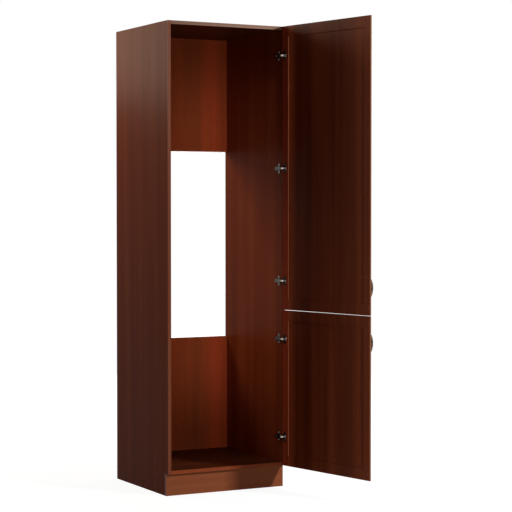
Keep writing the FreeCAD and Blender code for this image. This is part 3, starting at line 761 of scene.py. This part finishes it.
@dataclass
class HingeSet:
    """The five concealed hinges: plates, arms, cups and pins."""

    places: tuple[str, ...] = ("upper_top", "upper_middle", "upper_bottom", "lower_top",
                               "lower_bottom")
    rounding_mm: float = 0.4
    neck_front_m: float = -0.027  # an arm's neck is what lies further forward than this
    # the rim's reach above and below the cup's middle, and its height
    rim_mm: tuple[float, float] = (14.6, 1.0)
    rim_lean: float = 0.9  # faces that look out of the cup more squarely aren't the rim's
    hollow_radius_mm: float = 12.3
    # the depths under a cup's mouth at which its wall and its floor lie
    wall_mm: tuple[float, float] = (0.5, 10.5)
    floor_mm: tuple[float, float] = (10.5, 11.5)

    def dress(self, dark: bpy.types.Material, hollow_shade: bpy.types.Material,
              bright: bpy.types.Material, polished_highlight: bpy.types.Material) -> None:
        """Round the pressed edges and plate them, with painted shade in the cups and painted
        highlights.

        Args:
            dark: the plating of plates, webs and the cups' wings.
            hollow_shade: the walls in the cups, near black: painted shade.
            bright: the plating of pins, and on the arms' necks a painted highlight beside the dark
                webs.
            polished_highlight: the cups' floors and rims, polished and near white: a painted
                highlight.
        """
        inside = OPENED @ Vector((0.0, 1.0, 0.0))
        for place in self.places:
            softened(f"{place}_hinge_plate", self.rounding_mm, dark)
            arm = softened(f"{place}_hinge_arm", self.rounding_mm, dark)
            # the neck in brighter nickel than the rest of its arm: a painted highlight
            refinish(arm, bright, lambda face: face.center.y < self.neck_front_m)
            cup = softened(f"{place}_hinge_cup", self.rounding_mm / 2, dark)
            low, high = (Vector(corner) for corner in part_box(f"{place}_hinge_cup"))
            level = (low.z + high.z) / 2
            # the cups' walls near black: painted shade in the hollow
            refinish(cup, hollow_shade, self.hollow_test(cup, inside, level, self.wall_mm))
            # the cups' floors and rims near white: a painted highlight on polished plating
            refinish(cup, polished_highlight, self.hollow_test(cup, inside, level, self.floor_mm))
            refinish(cup, polished_highlight, self.rim_test(cup, inside, level))
        paint(("upper_hinge_pins", "lower_hinge_pins"), bright)

    def hollow_test(self, cup: bpy.types.Object, inside: Vector, level: float,
                    depths_mm: tuple[float, float]) -> FaceTest:
        """Tell the faces in a cup's hollow, between two depths under its mouth.

        Args:
            cup: the cup.
            inside: the direction that the cup opens to.
            level: the height of the cup's middle.
            depths_mm: the least and the greatest depth.

        Returns:
            A test that the faces at those depths pass.
        """
        across = inside.cross(Vector((0.0, 0.0, 1.0)))
        reaches = [vertex.co.dot(across) for vertex in cup.data.vertices]
        middle = (min(reaches) + max(reaches)) / 2
        mouth = max(vertex.co.dot(inside) for vertex in cup.data.vertices)
        least, greatest = (depth * MM for depth in depths_mm)
        return lambda face: (
            math.hypot(face.center.dot(across) - middle, face.center.z - level)
            < self.hollow_radius_mm * MM
            and least < mouth - face.center.dot(inside) < greatest)

    def rim_test(self, cup: bpy.types.Object, inside: Vector, level: float) -> FaceTest:
        """Tell the edge of a cup's raised rim from its wings and its hollow.

        Args:
            cup: the cup.
            inside: the direction that the cup opens to.
            level: the height of the cup's middle.

        Returns:
            A test that the rim's faces pass.
        """
        reach, depth = (size * MM for size in self.rim_mm)
        mouth = max(vertex.co.dot(inside) for vertex in cup.data.vertices)
        return lambda face: (abs(face.center.z - level) < reach
                             and face.center.dot(inside) > mouth - depth
                             and face.normal.dot(inside) < self.rim_lean)


@dataclass(frozen=True)
class HeadSize:
    """The sizes of a fastener: its head, the head's outer face, its shank and its cross recess."""

    radius_mm: float
    height_mm: float
    crown_share: float
    shank_radius_mm: float
    recess_length_share: float = 1.1
    recess_width_share: float = 0.24
    recess_depth_share: float = 0.6


@dataclass
class CrossHeads:
    """Fasteners of one kind, each with a cross recess in its head."""

    node: str
    size: HeadSize
    sides: int = 24

    def spots(self, directions: list[Vector]) -> list[tuple[Vector, Vector, float]]:
        """Find each fastener of the CAD node.

        Args:
            directions: the ways that a fastener can point, from its head to its tip.

        Returns:
            For each one, the middle of its head's outer face, its direction and its length.
        """
        shape = merged_copy(self.node)
        counted, found = set(), []
        for start in shape.verts:
            if start in counted:
                continue
            island, fresh = set(), {start}
            while fresh:
                vertex = fresh.pop()
                island.add(vertex)
                fresh |= {edge.other_vert(vertex) for edge in vertex.link_edges} - island
            counted |= island
            points = [vertex.co.copy() for vertex in shape.verts if vertex in island]
            found.append(self.measure(points, directions))
        shape.free()
        return found

    def measure(self, points: list[Vector],
                directions: list[Vector]) -> tuple[Vector, Vector, float]:
        """Tell which way one fastener points and where its head is.

        Args:
            points: the fastener's corners.
            directions: the ways that it can point.

        Returns:
            The middle of its head's outer face, its direction and its length.
        """
        tries = []
        for way in directions:
            levels = [point.dot(way) for point in points]
            low, high = min(levels), max(levels)
            head = [p for p, level in zip(points, levels) if level < low + HEAD_DISTANCE]
            middle = sum(head, Vector()) / len(head)
            spread = max((p - middle).length for p in head)
            tries.append((abs(spread - self.size.radius_mm * MM), middle, way, high - low))
        _, middle, way, length = min(tries, key=lambda row: row[0])
        return middle, way, length

    def tree(self) -> bpy.types.NodeTree:
        """Build the tree that sets one recessed fastener on every point.

        Returns:
            A geometry tree with named inputs for the sizes and the finish.
        """
        tree = bpy.data.node_groups.new(f"{self.node}_tree", "GeometryNodeTree")
        face = tree.interface
        face.new_socket("Points", in_out="INPUT", socket_type="NodeSocketGeometry")
        for name in ("Head Radius", "Head Height", "Crown Radius", "Shank Radius", "Shank Length",
                     "Recess Length", "Recess Width", "Recess Depth"):
            face.new_socket(name, in_out="INPUT", socket_type="NodeSocketFloat")
        face.new_socket("Finish", in_out="INPUT", socket_type="NodeSocketMaterial")
        face.new_socket("Fasteners", in_out="OUTPUT", socket_type="NodeSocketGeometry")
        given = add_node(tree, "NodeGroupInput").outputs
        head = add_node(tree, "GeometryNodeMeshCone", {"fill_type": "NGON"}, {
            "Vertices": self.sides, "Radius Top": given["Head Radius"],
            "Radius Bottom": given["Crown Radius"], "Depth": given["Head Height"]})
        cutter = add_node(tree, "GeometryNodeMeshBoolean",
                          {"operation": "UNION", "solver": "EXACT"})
        twice = add_node(tree, "ShaderNodeMath", {"operation": "MULTIPLY"}, {
            0: given["Recess Depth"], 1: 2.0})
        for wide, high in (("Recess Length", "Recess Width"), ("Recess Width", "Recess Length")):
            box = add_node(tree, "ShaderNodeCombineXYZ", None, {
                0: given[wide], 1: given[high], 2: twice.outputs[0]})
            slot = add_node(tree, "GeometryNodeMeshCube", None, {"Size": box.outputs[0]})
            tree.links.new(slot.outputs["Mesh"], cutter.inputs["Mesh 2"])
        bored = add_node(tree, "GeometryNodeMeshBoolean",
                         {"operation": "DIFFERENCE", "solver": "EXACT"},
                         {"Mesh 1": head.outputs["Mesh"], "Mesh 2": cutter.outputs["Mesh"]})
        half = add_node(tree, "ShaderNodeMath", {"operation": "MULTIPLY"}, {
            0: given["Shank Length"], 1: 0.5})
        centre = add_node(tree, "ShaderNodeMath", {"operation": "ADD"}, {
            0: half.outputs[0], 1: given["Head Height"]})
        lift = add_node(tree, "ShaderNodeCombineXYZ", None, {2: centre.outputs[0]})
        shank = add_node(tree, "GeometryNodeMeshCylinder", {"fill_type": "NGON"}, {
            "Vertices": self.sides, "Radius": given["Shank Radius"],
            "Depth": given["Shank Length"]})
        moved = add_node(tree, "GeometryNodeTransform", None, {
            "Geometry": shank.outputs["Mesh"], "Translation": lift.outputs[0]})
        whole = add_node(tree, "GeometryNodeJoinGeometry")
        for part in (bored.outputs["Mesh"], moved.outputs["Geometry"]):
            tree.links.new(part, whole.inputs["Geometry"])
        aim = add_node(tree, "GeometryNodeInputNamedAttribute", {"data_type": "FLOAT_VECTOR"},
                       {"Name": "aim"})
        turn = add_node(tree, "FunctionNodeAlignRotationToVector", {"axis": "Z"}, {
            "Vector": aim.outputs["Attribute"]})
        spread = add_node(tree, "GeometryNodeInstanceOnPoints", None, {
            "Points": given["Points"], "Instance": whole.outputs["Geometry"],
            "Rotation": turn.outputs["Rotation"]})
        real = add_node(tree, "GeometryNodeRealizeInstances", None, {
            "Geometry": spread.outputs["Instances"]})
        dressed = add_node(tree, "GeometryNodeSetMaterial", None, {
            "Geometry": real.outputs["Geometry"], "Material": given["Finish"]})
        add_node(tree, "NodeGroupOutput", None, {"Fasteners": dressed.outputs["Geometry"]})
        return tree

    def build(self, directions: list[Vector], finish: bpy.types.Material) -> None:
        """Make the fasteners of one CAD node and stand them in its place.

        Args:
            directions: the ways that a fastener can point, from its head to its tip.
            finish: the fasteners' material.
        """
        spots = self.spots(directions)
        mesh = bpy.data.meshes.new(f"{self.node}_points")
        mesh.from_pydata([middle for middle, _, _ in spots], [], [])
        aims = mesh.attributes.new("aim", "FLOAT_VECTOR", "POINT")
        for index, (_, way, _) in enumerate(spots):
            aims.data[index].vector = way
        points = link_piece(f"{self.node}_points", mesh)
        tree = self.tree()
        size, length_mm = self.size, spots[0][2] / MM
        sizes_mm = {
            "Head Radius": size.radius_mm, "Head Height": size.height_mm,
            "Crown Radius": size.radius_mm * size.crown_share,
            "Shank Radius": size.shank_radius_mm, "Shank Length": length_mm - size.height_mm,
            "Recess Length": size.radius_mm * size.recess_length_share,
            "Recess Width": size.radius_mm * size.recess_width_share,
            "Recess Depth": size.height_mm * size.recess_depth_share}
        modifier = points.modifiers.new("fasteners", "NODES")
        modifier.node_group = tree
        for item in tree.interface.items_tree:
            if item.in_out == "INPUT" and item.name in sizes_mm:
                modifier[item.identifier] = sizes_mm[item.name] * MM
            elif item.name == "Finish":
                modifier[item.identifier] = finish
        made = flatten(points)
        bpy.data.objects.remove(points)
        bpy.data.meshes.remove(mesh)
        smooth(made)
        piece = link_piece(f"{self.node}_piece", made)
        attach(piece, frame["nodes"][self.node]["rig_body"])
        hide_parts(self.node)
        log.info("%s: %d fasteners, %s", piece.name, len(spots), finish.name)


SMALL_SCREW = HeadSize(radius_mm=3.5, height_mm=1.6, crown_share=0.72, shank_radius_mm=1.75)
ARM_SCREW = HeadSize(radius_mm=4.5, height_mm=2.2, crown_share=0.8, shank_radius_mm=2.2)
HANDLE_SCREW = HeadSize(radius_mm=4.0, height_mm=2.0, crown_share=0.72, shank_radius_mm=2.0)
CAM_LOCK = HeadSize(radius_mm=7.5, height_mm=11.5, crown_share=0.94, shank_radius_mm=6.5)
BRACKET_ROUNDING_MM = 0.4


def main() -> None:
    """Build the studio, dress the cabinet and its doors, and report each piece."""
    Studio().build()
    Carcass().dress()
    # door foil print with painted light and shade across it: pale by the hinge stile, a dark
    # stripe, pale free edge
    decor_painted_light = FiguredTimber("mahogany_door_decor_painted_light", Grain.UPRIGHT, Turn.DOOR, dark="#54200D",
                          light="#A24E2D", gloss=0.09, figure_span=0.32, streak_share=0.26,
                          painted_light_stops=((-0.12, 0.42), (-0.2, -0.34), (-0.25, -0.31), (-0.31, 0.04),
                                 (-0.5, -0.05), (-0.65, 0.36))).material()
    # the hinge stile's inner faces in a deeper red: painted shade, the red that the stile takes in
    # shadow
    red = FiguredTimber("mahogany_door_hinge_stile_painted_shade", Grain.UPRIGHT, Turn.DOOR, dark="#87341C",
                        middle="#963C22", light="#A04628", gloss=0.06).material()
    # the step face beside the panel painted pale: a painted highlight, a thin light line
    moulding_highlight = FiguredTimber("mahogany_door_moulding_painted_highlight", Grain.UPRIGHT, Turn.DOOR, dark="#B06644",
                             middle="#BE724E", light="#CA7E5A", pore="#8A4C30",
                             gloss=0.06).material()
    # foil on the free edge in a paler, greyer brown: painted light, so it shows as a fine lit line
    edge = FiguredTimber("mahogany_door_edge_foil_painted_light", Grain.UPRIGHT, Turn.DOOR, dark="#6C422C",
                         middle="#784B33", light="#82543B", pore="#50301F", gloss=0.06).material()
    # cast handle, bronzed and lacquered: dark warm metal with a soft highlight
    bronze = PlatedMetal("aged_bronze_lacquer", "#5A4C40", "#3E342C", 0.38).material()
    # moulded rubber: matt brown dots that hardly show on the door
    rubber = PlainSkin("brown_bumper_rubber", "#7E381C", "#70301A", 0.5).material()
    # stoved lacquer on steel: screw heads in the door's own colour, a little glossier
    lacquer = PlainSkin("brown_screw_lacquer", "#7E381C", "#6C2D15", 0.4).material()
    # nickel-plated pressed steel: dark grey plates and bright pins; painted shade on the cups'
    # near black walls; painted highlights on the brighter necks and the near white cup floors and
    # rims
    dark_nickel = PlatedMetal("dark_nickel_steel", "#4E4B47", "#34322F", 0.3).material()
    black_nickel_and_shade = PlatedMetal("black_nickel_steel_and_painted_shade", "#211E1C", "#161412", 0.42).material()
    nickel = PlatedMetal("bright_nickel_steel", "#AAA29B", "#8E8781", 0.45).material()
    polished_highlight = PlatedMetal("polished_nickel_painted_highlight", "#F0ECE6", "#DAD6D0", 0.22).material()
    # bright zinc plating: cool silver grey with a faint cloud
    zinc = PlatedMetal("bright_zinc_plating", "#C2C4C4", "#A2A6A8", 0.34).material()
    for leaf in Leaf:
        Door(leaf).dress(decor_painted_light, red, moulding_highlight, edge, bronze, rubber)
    HingeSet().dress(dark_nickel, black_nickel_and_shade, nickel, polished_highlight)
    right, forward, up = Vector((1.0, 0.0, 0.0)), Vector((0.0, -1.0, 0.0)), Vector((0.0, 0.0, 1.0))
    through_door = [OPENED @ forward]
    CrossHeads("hinge_plate_screws", SMALL_SCREW).build([right], nickel)
    CrossHeads("hinge_arm_screws", ARM_SCREW).build([right], dark_nickel)
    for leaf in Leaf:
        CrossHeads(f"{leaf.value}_cup_screws", SMALL_SCREW).build(through_door, black_nickel_and_shade)
        CrossHeads(f"{leaf.value}_handle_screws", HANDLE_SCREW).build(through_door, lacquer)
    CrossHeads("plinth_bracket_screws", SMALL_SCREW).build([right, -right, forward], zinc)
    CrossHeads("cam_locks", CAM_LOCK).build([-up, up, forward], zinc)
    paint(("cam_bolts",), zinc)
    softened("plinth_brackets", BRACKET_ROUNDING_MM, zinc)


if __name__ == "__main__":
    main()
